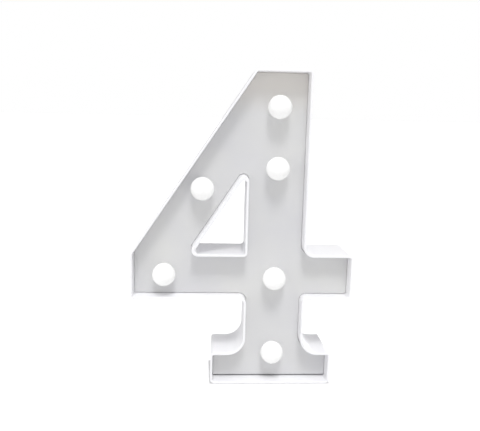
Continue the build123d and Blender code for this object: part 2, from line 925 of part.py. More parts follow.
def switch_body():
    """The switch's case with its ears, and the well that its knob slides in."""
    ear_front = pan_inner_y - switch_ear_thickness
    ears = box_between(
        (stem_x - switch_ear_length / 2, ear_front, switch_z - switch_width / 2),
        (stem_x + switch_ear_length / 2, pan_inner_y, switch_z + switch_width / 2),
    )
    case = box_between(
        (stem_x - switch_length / 2, switch_front_y, switch_z - switch_width / 2),
        (stem_x + switch_length / 2, ear_front, switch_z + switch_width / 2),
    )
    slot_half = (knob_length + knob_travel) / 2 + knob_clearance
    well = box_between(
        (stem_x - slot_half, knob_front_y - knob_clearance,
         switch_z - knob_width / 2 - knob_clearance),
        (stem_x + slot_half, pan_inner_y + overrun, switch_z + knob_width / 2 + knob_clearance),
    )
    holes = [
        rod_along_y(place, ear_front - overrun, pan_inner_y + overrun,
                    switch_screw_radius + thread_clearance)
        for place in switch_screw_places
    ]
    terminals = [
        box_between(
            (stem_x + count * terminal_pitch - terminal_width / 2,
             switch_front_y - terminal_length, switch_z - terminal_thickness / 2),
            (stem_x + count * terminal_pitch + terminal_width / 2,
             switch_front_y, switch_z + terminal_thickness / 2),
        )
        for count in (-1, 0, 1)
    ]
    return cut_all(union(ears, [case] + terminals), [well] + holes)


def switch_knob():
    """The sliding knob, ribbed on top and just below the back surface."""
    top_y = back_y - knob_sink
    knob = box_between(
        (knob_rest_x - knob_length / 2, knob_front_y, switch_z - knob_width / 2),
        (knob_rest_x + knob_length / 2, top_y, switch_z + knob_width / 2),
    )
    rib_pitch = knob_length / 4
    grooves = [
        box_between(
            (knob_rest_x + count * rib_pitch - rib_pitch / 4, top_y - knob_groove_depth,
             switch_z - knob_width),
            (knob_rest_x + count * rib_pitch + rib_pitch / 4, top_y + overrun,
             switch_z + knob_width),
        )
        for count in (-1, 0, 1)
    ]
    return cut_all(knob, grooves)


# The wires run side by side from light to light, in one plane behind the face
def beside(points, step):
    """A route moved sideways to its left by a step, its corners mitred."""
    lines = [moved_line(a, b, step) for a, b in zip(points, points[1:])]
    moved = [lines[0][0]]
    for before, after in zip(lines, lines[1:]):
        run = (before[1][0] - before[0][0], before[1][1] - before[0][1])
        other = (after[1][0] - after[0][0], after[1][1] - after[0][1])
        cross = run[0] * other[1] - run[1] * other[0]
        gap = (after[0][0] - before[0][0], after[0][1] - before[0][1])
        share = (gap[0] * other[1] - gap[1] * other[0]) / cross
        moved.append((before[0][0] + run[0] * share, before[0][1] + run[1] * share))
    return moved + [lines[-1][1]]


def bend_radii(points):
    """Each bend as large as its runs allow, a run between two bends being shared."""
    runs = [after - before for before, after in zip(points, points[1:])]
    rooms = [run.length / 2 for run in runs]
    rooms[0] = runs[0].length
    rooms[-1] = runs[-1].length
    radii = []
    for count in range(1, len(runs)):
        half_turn = math.radians(runs[count - 1].get_angle(runs[count])) / 2
        room = min(rooms[count - 1], rooms[count])
        radii.append(wire_bend_share * room / math.tan(half_turn))
    return radii


def wire_along(points):
    """A round insulated wire along straight runs joined by arcs."""
    points = [Vector(*point) for point in points]
    radii = bend_radii(points)
    if radii:
        path = FilletPolyline(*points, radius=radii)
    else:
        path = Line(*points)
    section = Plane(origin=points[0], z_dir=points[1] - points[0]) * Circle(wire_radius)
    wire = sweep(section, path=path)
    expected = math.pi * wire_radius ** 2 * path.length
    print("wire", round(path.length, 1), "bends", [round(r, 1) for r in radii],
          "volume share", round(wire.volume / expected, 4))
    return wire


def heading_from(start, end):
    """The unit direction from one place to another."""
    run = end[0] - start[0]
    rise = end[1] - start[1]
    length = math.hypot(run, rise)
    return (run / length, rise / length)


def along(place, heading, distance):
    """A place some way along a heading."""
    return (place[0] + heading[0] * distance, place[1] + heading[1] * distance)


top_bulb, upper_bulb, stroke_bulb, end_bulb, bar_bulb, foot_bulb = bulb_places
above_end = (end_bulb[0], end_bulb[1] + wire_run)
stroke_heading = heading_from(stroke_bulb, above_end)
down = (0, -1)
leftward = (-1, 0)
rightward = (1, 0)
headings = [down, leftward, stroke_heading, down, rightward, down]
apex_z = hole_top_z + wire_apex_clearance
stem_gap = top_bulb[1] - upper_bulb[1]
wire_links = [
    [(stem_x, top_bulb[1] - 0.22 * stem_gap),
     (stem_x + wire_swing, top_bulb[1] - 0.45 * stem_gap),
     (stem_x + wire_swing, upper_bulb[1])],
    [(stem_x - 0.85 * wire_run, upper_bulb[1]),
     (stem_left_x + 0.25 * wire_swing, apex_z),
     (stem_left_x - wire_swing, apex_z),
     along(stroke_bulb, stroke_heading, -1.15 * wire_run)],
    [above_end],
    [(end_bulb[0], end_bulb[1] - 0.26 * bar_height),
     (end_bulb[0] + 0.45 * wire_run, end_bulb[1] - 0.36 * bar_height),
     (end_bulb[0] + 2.2 * wire_run, end_bulb[1] - 0.32 * bar_height),
     (bar_bulb[0] - 1.9 * wire_run, bar_bulb[1])],
    [(bar_bulb[0] + wire_run, bar_bulb[1]),
     (bar_bulb[0] + wire_run, bar_bulb[1] - wire_run),
     (bar_bulb[0], bar_bulb[1] - 2 * wire_run)],
]


def link_wire(count, sign):
    """One wire between two neighbouring lights, on one side of their line."""
    start = along(bulb_places[count], headings[count], lead_side / 2)
    end = along(bulb_places[count + 1], headings[count + 1], -lead_side / 2)
    route = beside([start] + wire_links[count] + [end], sign * lead_spacing / 2)
    return wire_along([(x, wire_y, z) for x, z in route])


lead_x = lead_spacing / 2
tab_y = plate_front_y + plate_thickness / 2
terminal_y = switch_front_y - terminal_length
foot_lead_z = foot_bulb[1] - lead_side / 2


def feed_wires():
    """The three wires between the cells, the switch and the lowest light."""
    positive_x = stem_x + cell_pitch / 2
    negative_x = stem_x - cell_pitch / 2
    switch_x = stem_x + terminal_pitch
    front_y = terminal_y - feed_front_gap
    switch_to_light = [
        (stem_x, terminal_y, switch_z),
        (stem_x, terminal_y - feed_lead_in, switch_z),
        (stem_x + lead_x, wire_y, switch_z + feed_rise),
        (stem_x + lead_x, wire_y, foot_lead_z),
    ]
    cell_to_switch = [
        (positive_x, tab_y, tab_end_z),
        (positive_x, tab_y, tab_end_z - feed_drop),
        (switch_x, front_y, feed_dip_z),
        (switch_x, front_y, switch_z),
        (switch_x, terminal_y, switch_z),
    ]
    cell_to_light = [
        (negative_x, tab_y, tab_end_z),
        (negative_x, tab_y, feed_loop_z),
        (stem_x - lead_x, wire_y, feed_loop_z),
        (stem_x - lead_x, wire_y, foot_lead_z),
    ]
    return {
        "red_wire_switch_to_light": wire_along(switch_to_light),
        "red_wire_battery_to_switch": wire_along(cell_to_switch),
        "black_wire_battery_to_light": wire_along(cell_to_light),
    }


os.makedirs("parts", exist_ok=True)

write("channel_body", channel_body())
write("face_panel", face_panel())
write("panel_screws", panel_screws())
for number, (place, heading) in enumerate(zip(bulb_places, headings), start=1):
    write(f"bulb_cap_{number}", bulb_cap(place))
    write(f"led_holder_{number}", led_holder(place))
    write(f"led_{number}", led_lens(place, heading))
    write(f"led_leads_{number}", led_leads(place, heading))
for count in range(len(wire_links)):
    write(f"red_wire_{count + 1}_to_{count + 2}", link_wire(count, 1))
    write(f"black_wire_{count + 1}_to_{count + 2}", link_wire(count, -1))
for name, shape in feed_wires().items():
    write(name, shape)

write("battery_cell_left", battery_cell(-1, True))
write("battery_cell_right", battery_cell(1, False))
write("contact_plate_negative", contact_plate(-1, False))
write("contact_plate_positive", contact_plate(1, True))
write("contact_bridge", bridge_plate())
coil, coil_gap = contact_spring()
print("least gap between spring turns", round(coil_gap, 3))
lower_seat = (stem_x - cell_pitch / 2, cell_y, compartment_bottom_z + plate_thickness)
upper_seat = (stem_x + cell_pitch / 2, cell_y, compartment_top_z - plate_thickness)
write("contact_spring_lower", Pos(*lower_seat) * coil)
write("contact_spring_upper", Pos(*upper_seat) * Rot(X=180) * coil)

write("battery_door", battery_door())
write("switch_body", switch_body())
write("switch_knob", switch_knob())
write("switch_screws", switch_screws())
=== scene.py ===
import math
import bpy
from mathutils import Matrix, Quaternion, Vector


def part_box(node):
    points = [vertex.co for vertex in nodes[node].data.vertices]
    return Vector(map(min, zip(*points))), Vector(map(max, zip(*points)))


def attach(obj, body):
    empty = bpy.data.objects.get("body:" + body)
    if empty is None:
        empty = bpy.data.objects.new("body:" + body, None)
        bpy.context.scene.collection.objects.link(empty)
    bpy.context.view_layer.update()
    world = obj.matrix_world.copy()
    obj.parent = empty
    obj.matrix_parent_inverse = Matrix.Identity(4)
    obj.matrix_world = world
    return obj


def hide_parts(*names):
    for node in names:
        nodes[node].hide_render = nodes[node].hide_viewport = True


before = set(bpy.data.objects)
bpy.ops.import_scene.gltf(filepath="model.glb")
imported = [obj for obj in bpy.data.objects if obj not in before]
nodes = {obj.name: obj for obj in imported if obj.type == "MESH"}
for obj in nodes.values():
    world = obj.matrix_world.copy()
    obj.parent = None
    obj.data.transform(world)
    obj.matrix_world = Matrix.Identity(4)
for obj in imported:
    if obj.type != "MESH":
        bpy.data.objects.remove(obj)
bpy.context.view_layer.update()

# The channel body
# One white ABS moulding: the outer walls, the walls of the hole and the back. It comes out of
# a polished tool with a faint orange peel and stands on its own foot.
skin_outputs = [
    ("Colour", "NodeSocketColor"),
    ("Roughness", "NodeSocketFloat"),
    ("Normal", "NodeSocketVector"),
]


def add_node(tree, kind, inputs, **settings):
    """A shader node with its settings. Each input is fed by an output or holds a value."""
    node = tree.nodes.new(kind)
    for label, value in settings.items():
        setattr(node, label, value)
    for label, value in inputs.items():
        if isinstance(value, bpy.types.NodeSocket):
            tree.links.new(value, node.inputs[label])
        else:
            node.inputs[label].default_value = value
    return node


def effect_group(name, inputs, outputs):
    """An empty node group with its own sockets, given as names, kinds and first values."""
    group = bpy.data.node_groups.new(name, "ShaderNodeTree")
    for label, kind, value in inputs:
        socket = group.interface.new_socket(label, in_out="INPUT", socket_type=kind)
        socket.default_value = value
    for label, kind in outputs:
        group.interface.new_socket(label, in_out="OUTPUT", socket_type=kind)
    group_in = group.nodes.new("NodeGroupInput")
    group_out = group.nodes.new("NodeGroupOutput")
    return group, group_in.outputs, group_out.inputs


def object_place(tree):
    """The place on the object that is being coloured."""
    return tree.nodes.new("ShaderNodeTexCoord").outputs["Object"]


def noise_in(tree, place, scale, detail):
    """Soft noise at a place, with its scale from a socket or a number."""
    noise = add_node(tree, "ShaderNodeTexNoise", {"Vector": place, "Scale": scale, "Detail": detail})
    return noise.outputs["Fac"]


def lead_out(group, given, wanted, tone, shine, relief, relief_depth, relief_strength):
    """Lead a skin's colour, its gloss and its relief to the outputs of its group."""
    colour = add_node(group, "ShaderNodeMix", {
        "Factor": tone, "A": given["Light"], "B": given["Dark"],
    }, data_type="RGBA")
    gloss = add_node(group, "ShaderNodeMapRange", {
        "Value": shine, "To Min": given["Gloss Low"], "To Max": given["Gloss High"],
    })
    bump = add_node(group, "ShaderNodeBump", {
        "Strength": relief_strength, "Height": relief, "Distance": relief_depth,
    })
    group.links.new(colour.outputs["Result"], wanted["Colour"])
    group.links.new(gloss.outputs["Result"], wanted["Roughness"])
    group.links.new(bump.outputs["Normal"], wanted["Normal"])


def moulded_skin_group():
    """Mottled colour, uneven gloss and a fine orange peel, as on moulded plastic."""
    group, given, wanted = effect_group("moulded_skin", [
        ("Light", "NodeSocketColor", (0.9, 0.9, 0.9, 1)),
        ("Dark", "NodeSocketColor", (0.85, 0.85, 0.85, 1)),
        ("Mottle Scale", "NodeSocketFloat", 30),
        ("Gloss Low", "NodeSocketFloat", 0.3),
        ("Gloss High", "NodeSocketFloat", 0.4),
        ("Peel Scale", "NodeSocketFloat", 900),
        ("Peel Depth", "NodeSocketFloat", 0.00002),
    ], skin_outputs)
    mottle_detail = 3
    shine_scale = 140
    shine_detail = 4
    peel_detail = 2
    peel_strength = 0.6
    place = object_place(group)
    mottle = add_node(group, "ShaderNodeMapRange", {
        "Value": noise_in(group, place, given["Mottle Scale"], mottle_detail),
        "From Min": 0.35, "From Max": 0.65,
    })
    shine = noise_in(group, place, shine_scale, shine_detail)
    peel = noise_in(group, place, given["Peel Scale"], peel_detail)
    lead_out(group, given, wanted, mottle.outputs["Result"], shine, peel,
             given["Peel Depth"], peel_strength)
    return group


moulded_skin = moulded_skin_group()


def skinned_material(name, skin, values, fixed):
    """A material whose colour, gloss and normal come from a skin group, the rest being fixed."""
    material = bpy.data.materials.new(name)
    material.use_nodes = True
    tree = material.node_tree
    shader = tree.nodes["Principled BSDF"]
    effect = tree.nodes.new("ShaderNodeGroup")
    effect.node_tree = skin
    for label, value in values.items():
        effect.inputs[label].default_value = value
    tree.links.new(effect.outputs["Colour"], shader.inputs["Base Color"])
    tree.links.new(effect.outputs["Roughness"], shader.inputs["Roughness"])
    tree.links.new(effect.outputs["Normal"], shader.inputs["Normal"])
    for label, value in fixed.items():
        shader.inputs[label].default_value = value
    return material


def dress(node, material):
    """Give a node that keeps its solid's shape its finish."""
    nodes[node].material_slots[0].material = material


white_body_plastic = skinned_material("white_body_plastic", moulded_skin, {
    "Light": (0.935, 0.933, 0.949, 1), "Dark": (0.905, 0.903, 0.928, 1), "Mottle Scale": 18,
    "Gloss Low": 0.3, "Gloss High": 0.42, "Peel Scale": 700, "Peel Depth": 0.00002,
}, {
    "Specular IOR Level": 0.45,
    "Subsurface Weight": 0.08, "Subsurface Scale": 0.002, "Subsurface Radius": (1, 1, 1),
})
dress("channel_body", white_body_plastic)

# The face panel
# The flat figure that lies a centimetre behind the rim. Its white is painted greyer, as shade in the
# recess, with a warm tint of painted shade at the top below the top wall. Its seven posts run back
# to the tray, where screws hold them.
mm = 0.001
# Towards the top the face takes a warm tint of painted shade, below the top wall.
top_shade_from = 190 * mm
top_shade_to = 209 * mm
top_shade_tint = (0.716, 0.692, 0.662, 1)
# The face's colours are its white painted greyer, as shade where it lies back in the recess.
face_plastic = skinned_material("face_plastic", moulded_skin, {
    "Light": (0.692, 0.692, 0.687, 1), "Dark": (0.659, 0.659, 0.675, 1), "Mottle Scale": 22,
    "Gloss Low": 0.45, "Gloss High": 0.6, "Peel Scale": 900, "Peel Depth": 0.00002,
}, {"Specular IOR Level": 0.35})


def split_place(tree, place):
    """The X, Y and Z of a place."""
    return add_node(tree, "ShaderNodeSeparateXYZ", {"Vector": place}).outputs


def paint_over(material, layers):
    """Lay other colours over a material's own, each where its mask says."""
    tree = material.node_tree
    base = tree.nodes["Principled BSDF"].inputs["Base Color"]
    colour = base.links[0].from_socket
    for mask, paint in layers:
        layer = add_node(tree, "ShaderNodeMix", {"Factor": mask, "A": colour, "B": paint},
                         data_type="RGBA")
        colour = layer.outputs["Result"]
    tree.links.new(colour, base)


# The warm tint of painted shade grows with height over the face's top.
face_tree = face_plastic.node_tree
top_shade = add_node(face_tree, "ShaderNodeMapRange", {
    "Value": split_place(face_tree, object_place(face_tree))["Z"],
    "From Min": top_shade_from, "From Max": top_shade_to,
})
paint_over(face_plastic, [(top_shade.outputs["Result"], top_shade_tint)])


def take(piece):
    """Make one object the only selected and the active one."""
    bpy.ops.object.select_all(action="DESELECT")
    piece.select_set(True)
    bpy.context.view_layer.objects.active = piece


same_point = 0.0005 * mm


def merged_copy(node, name):
    """A copy of a solid's skin with its triangles joined, to be shaped further."""
    copy = bpy.data.objects.new(name, nodes[node].data.copy())
    bpy.context.scene.collection.objects.link(copy)
    take(copy)
    bpy.ops.object.mode_set(mode="EDIT")
    bpy.ops.mesh.select_all(action="SELECT")
    bpy.ops.mesh.remove_doubles(threshold=same_point)
    bpy.ops.mesh.select_all(action="DESELECT")
    bpy.ops.object.mode_set(mode="OBJECT")
    return copy


def choose_faces(piece, wanted):
    """Select only the faces whose middle and normal pass a test."""
    mesh = piece.data
    mesh.vertices.foreach_set("select", [False] * len(mesh.vertices))
    mesh.edges.foreach_set("select", [False] * len(mesh.edges))
    for face in mesh.polygons:
        face.select = wanted(face.center, face.normal)


def finish_piece(piece, body, material, stands_for=()):
    """Put a piece's place in its mesh, dress it, and say what it rides on and stands for."""
    take(piece)
    bpy.ops.object.transform_apply(location=True, rotation=True, scale=True)
    piece.data.materials.clear()
    piece.data.materials.append(material)
    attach(piece, body)
    if stands_for:
        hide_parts(*stands_for)


def box_middle(node):
    """The middle of a node's box."""
    low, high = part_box(node)
    return [(near + far) / 2 for near, far in zip(low, high)]


# The plate drops in with a little play and doesn't lie quite in the middle of it: it touches
# the wall along its upper and side edges and along the hole's slanting wall, and its gap shows
# along its lower edges. It is cut short above the foot's bottom wall. Each row of edge_steps
# has the way that an edge faces and how far it moves.
face_plate = merged_copy("face_panel", "face_plate")
plate_front = -7.535 * mm
plate_back = -5.735 * mm
squarely = 0.98
around_bulb = 6 * mm
bulb_numbers = range(1, 7)
bulb_middles = [box_middle(f"bulb_cap_{number}") for number in bulb_numbers]
edge_steps = [
    ((0, 0, 1), 0.22 * mm),
    ((1, 0, 0), 0.22 * mm),
    ((-1, 0, 0), 0.2 * mm),
    ((0, 0, -1), -0.24 * mm),
    ((0.837, 0, -0.547), 0.18 * mm),
]
for facing, step in edge_steps:
    outward = Vector(facing)
    choose_faces(face_plate, lambda middle, normal: (
        plate_front < middle.y < plate_back
        and normal.dot(outward) > squarely
        and all(math.hypot(middle.x - bulb[0], middle.z - bulb[2]) > around_bulb
                for bulb in bulb_middles)
    ))
    bpy.ops.object.mode_set(mode="EDIT")
    bpy.ops.transform.translate(value=outward * step)
    bpy.ops.object.mode_set(mode="OBJECT")
plate_bottom = min(vertex.co.z for vertex in face_plate.data.vertices)
short_zone = 4 * mm
short_share = 0.81
choose_faces(face_plate, lambda middle, normal: False)
for vertex in face_plate.data.vertices:
    vertex.select = vertex.co.z < plate_bottom + short_zone
bpy.ops.object.mode_set(mode="EDIT")
bpy.ops.mesh.select_mode(type="VERT")
bpy.ops.transform.resize(value=(1, 1, short_share),
                         center_override=(0, 0, plate_bottom + short_zone))
bpy.ops.mesh.select_mode(type="FACE")
bpy.ops.object.mode_set(mode="OBJECT")
finish_piece(face_plate, "figure", face_plastic, ["face_panel"])

# The bulb caps
# Hollow milky polypropylene balls, each with a slotted neck that snaps through the face.
# A faint painted glow, though the lights inside are off, makes them look white all over.
milky_plastic = skinned_material("milky_plastic", moulded_skin, {
    "Light": (0.975, 0.975, 0.97, 1), "Dark": (0.96, 0.96, 0.955, 1), "Mottle Scale": 120,
    "Gloss Low": 0.22, "Gloss High": 0.3, "Peel Scale": 500, "Peel Depth": 0.00001,
}, {
    "Subsurface Weight": 0.6, "Subsurface Scale": 0.004, "Subsurface Radius": (1, 1, 1),
    # The emission is a painted glow that lifts the caps to an even white.
    "Coat Weight": 0.15, "Emission Color": (1, 0.995, 0.985, 1), "Emission Strength": 0.12,
})
for number in bulb_numbers:
    dress(f"bulb_cap_{number}", milky_plastic)

# The lights inside the bulbs
# Each is a clear warm epoxy dome with two tinned legs, centred in the neck by a plain bush.
# A blob of solder joins each leg to its wires.
bush_plastic = skinned_material("bush_plastic", moulded_skin, {
    "Light": (0.8, 0.8, 0.77, 1), "Dark": (0.74, 0.74, 0.71, 1), "Mottle Scale": 200,
    "Gloss Low": 0.45, "Gloss High": 0.6, "Peel Scale": 1200, "Peel Depth": 0.00002,
}, {})
lens_epoxy = skinned_material("lens_epoxy", moulded_skin, {
    "Light": (0.97, 0.93, 0.78, 1), "Dark": (0.93, 0.86, 0.62, 1), "Mottle Scale": 350,
    "Gloss Low": 0.05, "Gloss High": 0.12, "Peel Scale": 300, "Peel Depth": 0.000005,
}, {"Transmission Weight": 0.5, "IOR": 1.5})


def plated_skin_group():
    """Brushed and slightly clouded metal: streaks along one axis in its gloss and relief, and a
    cloudy tone.
    """
    group, given, wanted = effect_group("plated_skin", [
        ("Light", "NodeSocketColor", (0.8, 0.8, 0.8, 1)),
        ("Dark", "NodeSocketColor", (0.6, 0.6, 0.6, 1)),
        ("Streaks", "NodeSocketVector", (200, 200, 2000)),
        ("Gloss Low", "NodeSocketFloat", 0.2),
        ("Gloss High", "NodeSocketFloat", 0.4),
        ("Streak Depth", "NodeSocketFloat", 0.00001),
    ], skin_outputs)
    streak_detail = 3
    streak_strength = 0.4
    cloud_scale = 400
    cloud_detail = 4
    place = object_place(group)
    stretched = add_node(group, "ShaderNodeVectorMath", {0: place, 1: given["Streaks"]},
                         operation="MULTIPLY").outputs["Vector"]
    streaks = noise_in(group, stretched, 1, streak_detail)
    cloud = noise_in(group, place, cloud_scale, cloud_detail)
    lead_out(group, given, wanted, cloud, streaks, streaks, given["Streak Depth"], streak_strength)
    return group


plated_skin = plated_skin_group()
tinned_steel = skinned_material("tinned_steel", plated_skin, {
    "Light": (0.78, 0.78, 0.77, 1), "Dark": (0.62, 0.62, 0.62, 1), "Streaks": (300, 300, 300),
    "Gloss Low": 0.2, "Gloss High": 0.45, "Streak Depth": 0.00001,
}, {"Metallic": 1})
for number in bulb_numbers:
    dress(f"led_holder_{number}", bush_plastic)
    dress(f"led_{number}", lens_epoxy)
    dress(f"led_leads_{number}", tinned_steel)

crease_angle = math.radians(35)


def turned_piece(name, profile, segments, closed=True):
    """A round piece on the Z axis: a ring drawn along a profile of radii and heights in
    millimetres. A closed one starts with a flat end, and a last radius of zero draws it shut."""
    bpy.ops.object.select_all(action="DESELECT")
    rings = [(radius * mm, height * mm) for radius, height in profile]
    radius, height = rings[0]
    bpy.ops.mesh.primitive_circle_add(vertices=segments, radius=radius, location=(0, 0, height))
    piece = bpy.context.active_object
    piece.name = name
    bpy.ops.object.transform_apply(location=True, rotation=True, scale=True)
    bpy.ops.object.mode_set(mode="EDIT")
    bpy.ops.mesh.select_all(action="SELECT")
    for next_radius, next_height in rings[1:]:
        bpy.ops.mesh.extrude_edges_move(
            TRANSFORM_OT_translate={"value": (0, 0, next_height - height)})
        if next_radius > 0:
            share = next_radius / radius
            bpy.ops.transform.resize(value=(share, share, 1), center_override=(0, 0, next_height))
        else:
            bpy.ops.mesh.merge(type="COLLAPSE")
        radius, height = next_radius, next_height
    if closed:
        bpy.ops.mesh.select_all(action="SELECT")
        bpy.ops.mesh.fill_holes(sides=0)
    bpy.ops.mesh.select_all(action="SELECT")
    bpy.ops.mesh.normals_make_consistent(inside=False)
    bpy.ops.object.mode_set(mode="OBJECT")
    bpy.ops.object.shade_smooth_by_angle(angle=crease_angle)
    return piece


solder = skinned_material("solder", plated_skin, {
    "Light": (0.72, 0.73, 0.74, 1), "Dark": (0.56, 0.57, 0.58, 1), "Streaks": (500, 500, 500),
    "Gloss Low": 0.12, "Gloss High": 0.35, "Streak Depth": 0.00002,
}, {"Metallic": 1})
blob_profile = [
    (0.5, -0.55), (0.78, -0.42), (0.92, -0.1), (0.86, 0.22),
    (0.62, 0.5), (0.4, 0.72), (0.31, 0.95), (0, 1.05),
]
blob_sides = 20
blob_step = 0.1 * mm


def solder_joint(name, place, tilt):
    """One cone of solder that has run round an end and drawn up to its tip."""
    blob = turned_piece(name, blob_profile, blob_sides)
    blob.rotation_euler = (math.radians(tilt), 0, 0)
    blob.location = place
    finish_piece(blob, "figure", solder)


# The legs lie side by side, and leg_sides has the way across each light's two, in X and Z.
leg_pitch = 2.54 * mm
leg_sides = [(1, 0), (0, -1), (0.882, -0.472), (1, 0), (0, 1), (1, 0)]
for number, (side_x, side_z) in zip(bulb_numbers, leg_sides):
    middle_x, middle_y, middle_z = box_middle(f"led_leads_{number}")
    for sign, pole in ((1, "red"), (-1, "black")):
        leg_x = middle_x + sign * side_x * leg_pitch / 2
        leg_z = middle_z + sign * side_z * leg_pitch / 2
        solder_joint(f"solder_{pole}_{number}", (leg_x, middle_y + blob_step, leg_z), tilt=-90)

# The wires
# Thin stranded wire in soft PVC, red for plus and black for minus, soldered from light to
# light and to the switch and the cells' contacts.
red_vinyl = skinned_material("red_vinyl", moulded_skin, {
    "Light": (0.62, 0.03, 0.025, 1), "Dark": (0.5, 0.02, 0.018, 1), "Mottle Scale": 300,
    "Gloss Low": 0.3, "Gloss High": 0.42, "Peel Scale": 1500, "Peel Depth": 0.00001,
}, {})
black_vinyl = skinned_material("black_vinyl", moulded_skin, {
    "Light": (0.03, 0.03, 0.032, 1), "Dark": (0.018, 0.018, 0.02, 1), "Mottle Scale": 300,
    "Gloss Low": 0.3, "Gloss High": 0.42, "Peel Scale": 1500, "Peel Depth": 0.00001,
}, {})
for name in nodes:
    if name.startswith("red_wire"):
        dress(name, red_vinyl)
    if name.startswith("black_wire"):
        dress(name, black_vinyl)

# The screws
# Zinc plated steel screws with domed heads and cross recesses. Seven of them stand in wells
# in the back and hold the face panel's posts, and two small ones hold the switch.
zinc_plate = skinned_material("zinc_plate", plated_skin, {
    "Light": (0.66, 0.67, 0.69, 1), "Dark": (0.5, 0.51, 0.54, 1), "Streaks": (900, 900, 900),
    "Gloss Low": 0.22, "Gloss High": 0.42, "Streak Depth": 0.00001,
}, {"Metallic": 1})
dress("panel_screws", zinc_plate)
dress("switch_screws", zinc_plate)

# The contacts
# Pressed from nickel plated sheet steel: two plates with solder tabs at the compartment's
# lower end and a bridge across its upper one, with two springs wound from plated wire.
nickel_plate = skinned_material("nickel_plate", plated_skin, {
    "Light": (0.78, 0.76, 0.72, 1), "Dark": (0.64, 0.62, 0.58, 1), "Streaks": (100, 1500, 1500),
    "Gloss Low": 0.15, "Gloss High": 0.32, "Streak Depth": 0.00001,
}, {"Metallic": 1})
for name in nodes:
    if name.startswith("contact_"):
        dress(name, nickel_plate)
tab_half_thickness = 0.25 * mm
for pole in ("negative", "positive"):
    low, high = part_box(f"contact_plate_{pole}")
    tab_place = ((low[0] + high[0]) / 2, low[1] + tab_half_thickness, low[2] + blob_step)
    solder_joint(f"solder_tab_{pole}", tab_place, tilt=180)

# The cells
# Two AA cells: a plated steel can crimped over a plastic seal and a cap with the raised
# terminal, in a printed shrink film that turns in over both ends. They lie head to tail.
can_profile = [
    (4.7, 0), (5.1, 0.3), (5.8, 0.3), (6.4, 0.15), (6.9, 0.4), (7.15, 0.9), (7.15, 48.1),
    (7.05, 48.5), (6.7, 48.85), (6.2, 49), (5.9, 48.95), (5.8, 48.5), (5.75, 48), (4.95, 48),
    (4.9, 48.4), (3.7, 48.5), (3.1, 48.65), (2.82, 49), (2.75, 49.5), (2.72, 50.15),
    (2.55, 50.4), (2.2, 50.5), (0, 50.5),
]
film_profile = [
    (6.3, 0.16), (6.7, 0.14), (7, 0.3), (7.19, 0.6), (7.25, 1),
    (7.25, 48.1), (7.2, 48.55), (7, 48.9), (6.7, 49.08), (6.35, 49.13),
]
film_thickness = 0.08 * mm
cell_sides = 64
seal_radius = 5.35 * mm
seal_thickness = 0.4 * mm
seal_sides = 12
seal_flatness = 0.8
seal_height = 48.2 * mm


def math_step(tree, operation, first, second=0):
    """One sum, product or comparison, of outputs or plain numbers."""
    step = add_node(tree, "ShaderNodeMath", {0: first, 1: second}, operation=operation)
    return step.outputs["Value"]


def offset_from(tree, middle):
    """How far a place on the object lies from a middle, as a vector."""
    offset = add_node(tree, "ShaderNodeVectorMath", {0: object_place(tree), 1: middle},
                      operation="SUBTRACT")
    return offset.outputs["Vector"]


def printed_sign_group():
    """A plus or a minus printed on the side of a film that faces the door."""
    group, given, wanted = effect_group("printed_sign", [
        ("Middle", "NodeSocketVector", (0, 0, 0)),
        ("Arm", "NodeSocketFloat", 1.7 * mm),
        ("Half Width", "NodeSocketFloat", 0.4 * mm),
        ("Upright", "NodeSocketFloat", 1),
    ], [("Mask", "NodeSocketFloat")])
    parts = split_place(group, offset_from(group, given["Middle"]))
    along_x = math_step(group, "ABSOLUTE", parts["X"])
    along_z = math_step(group, "ABSOLUTE", parts["Z"])
    level_bar = math_step(group, "MULTIPLY",
                          math_step(group, "LESS_THAN", along_x, given["Arm"]),
                          math_step(group, "LESS_THAN", along_z, given["Half Width"]))
    upright_bar = math_step(group, "MULTIPLY",
                            math_step(group, "LESS_THAN", along_x, given["Half Width"]),
                            math_step(group, "LESS_THAN", along_z, given["Arm"]))
    upright_bar = math_step(group, "MULTIPLY", upright_bar, given["Upright"])
    both = math_step(group, "MAXIMUM", level_bar, upright_bar)
    behind = math_step(group, "GREATER_THAN", parts["Y"])
    group.links.new(math_step(group, "MULTIPLY", both, behind), wanted["Mask"])
    return group


printed_sign = printed_sign_group()
band_ink = (0.55, 0.58, 0.58, 1)
sign_ink = (0.9, 0.9, 0.88, 1)


def film_material(name, middle, plus_z, minus_z, band_low, band_high):
    """The cell's printed film: a dark body, a pale band at the plus end, and both signs."""
    material = skinned_material(name, moulded_skin, {
        "Light": (0.06, 0.14, 0.17, 1), "Dark": (0.045, 0.11, 0.14, 1), "Mottle Scale": 60,
        "Gloss Low": 0.18, "Gloss High": 0.3, "Peel Scale": 1200, "Peel Depth": 0.000005,
    }, {"Metallic": 0.35})
    tree = material.node_tree
    height = split_place(tree, object_place(tree))["Z"]
    band_mask = math_step(tree, "MULTIPLY",
                          math_step(tree, "GREATER_THAN", height, band_low),
                          math_step(tree, "LESS_THAN", height, band_high))
    sign_masks = []
    for sign_z, upright in ((plus_z, 1), (minus_z, 0)):
        sign = tree.nodes.new("ShaderNodeGroup")
        sign.node_tree = printed_sign
        sign.inputs["Middle"].default_value = (*middle, sign_z)
        sign.inputs["Upright"].default_value = upright
        sign_masks.append(sign.outputs["Mask"])
    both_signs = math_step(tree, "MAXIMUM", *sign_masks)
    paint_over(material, [(band_mask, band_ink), (both_signs, sign_ink)])
    return material


